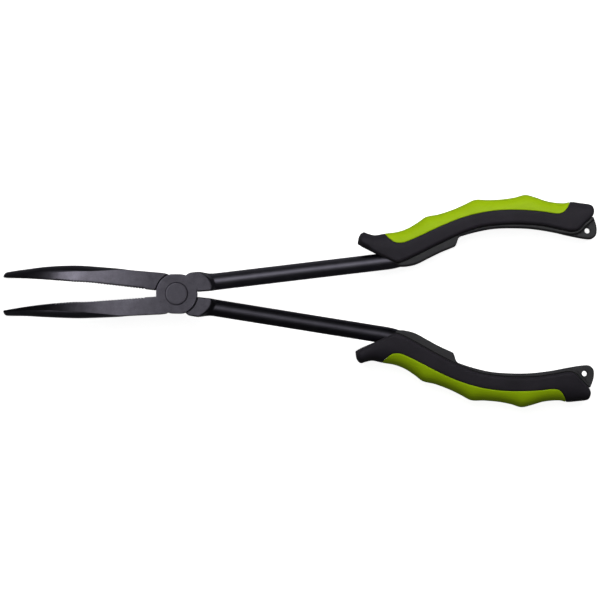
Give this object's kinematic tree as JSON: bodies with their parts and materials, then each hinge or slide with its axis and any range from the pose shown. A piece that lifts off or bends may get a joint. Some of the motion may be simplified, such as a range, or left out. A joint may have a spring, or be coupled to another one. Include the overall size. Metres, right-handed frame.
{
  "type": "fishing pliers",
  "caption": "Long-reach bent-nose fishing pliers: two black steel levers riveted in a lap joint, with arched soft grips in black and lime.",
  "frame": {"origin": "on the pivot axis, at the joint's flat underside", "axes": "+Z along the pivot axis towards the front lever's side, -X towards the nose, +X towards the handles, +Y towards the front lever's handle"},
  "size_m": [0.2803, 0.1004, 0.0234],
  "materials": {
    "black_steel": "black-oxided, satin",
    "rivet_steel": "black-oxided, ground flush",
    "black_nylon": "moulded, semi-matte",
    "black_soft_grip": "moulded soft rubber, matte",
    "lime_soft_grip": "moulded soft rubber, satin"
  },
  "bodies": {
    "rear_half": {"rear_lever": "black_steel", "lower_core": "black_nylon", "lower_shell": "black_soft_grip", "lower_insert": "lime_soft_grip"},
    "front_half": {"front_lever": "black_steel", "pivot_rivet": "rivet_steel", "upper_core": "black_nylon", "upper_shell": "black_soft_grip", "upper_insert": "lime_soft_grip"}
  },
  "joints": [
    {"name": "jaw_pivot", "type": "hinge", "parent": "rear_half", "child": "front_half", "pos_m": [0, 0, 0], "axis": [0, 0, 1], "range_deg": [-10.6, 49]}
  ]
}
